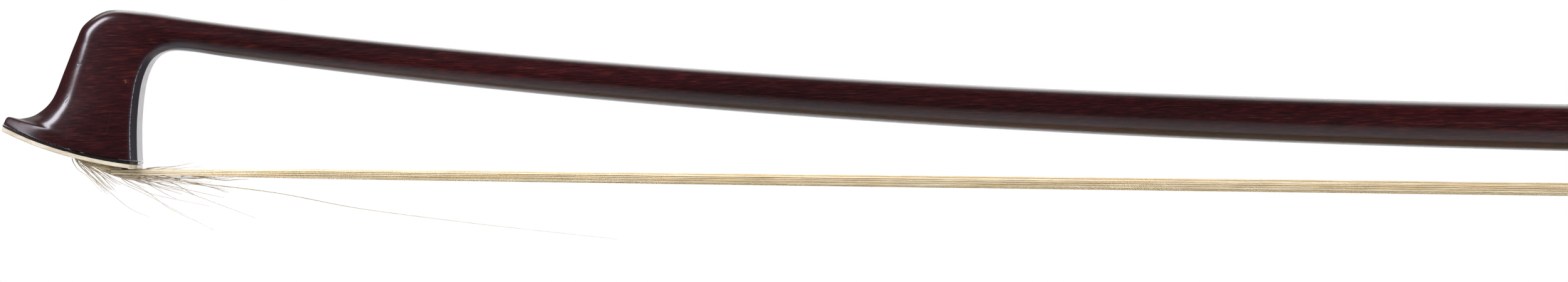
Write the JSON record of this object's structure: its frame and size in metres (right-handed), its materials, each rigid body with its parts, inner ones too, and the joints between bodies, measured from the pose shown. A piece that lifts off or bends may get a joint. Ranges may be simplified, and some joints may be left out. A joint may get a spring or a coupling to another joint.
{
  "type": "violin bow",
  "caption": "Violin bow: cambered wooden stick with a carved head, a ribbon of horse hair, a sliding frog and a screw button that tightens it.",
  "frame": {"origin": "on the axis of the stick's handle, in the middle of the thumb leather, where the hand holds the bow", "axes": "+X along the handle from the head towards the button, +Z from the hair towards the stick, +Y across"},
  "size_m": [0.7445, 0.013, 0.049],
  "materials": {
    "pernambuco": "dark red-brown wood, oiled and polished",
    "ebony": "black ebony, polished",
    "bone": "cream bone, polished",
    "horsehair": "unbleached white horse hair with rosin",
    "bound_knot": "hair end bound with thread and sealed",
    "maple": "bare maple",
    "dark_strip": "dark strip like whalebone",
    "light_strip": "light strip like whalebone",
    "leather": "dark brown goat leather",
    "silver": "silver, polished",
    "pearl": "mother of pearl",
    "brass": "turned brass",
    "steel": "threaded steel"
  },
  "bodies": {
    "stick_assembly": {"stick": "pernambuco", "head_liner": "ebony", "tip_plate": "bone", "tip_knot": "bound_knot", "tip_plug": "maple", "hair_ribbon": "horsehair", "broken_hairs": "horsehair", "thumb_leather": "leather", "lapping_dark": "dark_strip", "lapping_light": "light_strip"},
    "frog_assembly": {"frog": "ebony", "ferrule": "silver", "spread_wedge": "maple", "pearl_slide": "pearl", "slide_backing": "ebony", "heel_plate_under": "silver", "heel_plate_back": "silver", "heel_pin_1": "silver", "heel_pin_2": "silver", "heel_pin_3": "silver", "heel_pin_4": "silver", "underslide": "silver", "eye_ring_near": "silver", "eye_ring_far": "silver", "eye_pearl_near": "pearl", "eye_pearl_far": "pearl", "frog_knot": "bound_knot", "frog_plug": "maple", "eyelet": "brass"},
    "screw_assembly": {"screw": "steel", "button_core": "ebony", "button_collar_front": "silver", "button_collar_rear": "silver", "button_eye": "pearl"}
  },
  "joints": [
    {"name": "screw_turn", "type": "hinge", "parent": "stick_assembly", "child": "screw_assembly", "pos_m": [0.0673, 0, 0], "axis": [-1, 0, 0], "range_deg": [-2058, 1544]},
    {"name": "frog_slide", "type": "slide", "parent": "stick_assembly", "child": "frog_assembly", "axis": [1, 0, 0], "range_m": [-0.004, 0.003], "deforming": ["hair_ribbon"]}
  ],
  "couplings": [
    {"joint": "screw_turn", "follows": "frog_slide", "rad_per_m": 8976}
  ]
}
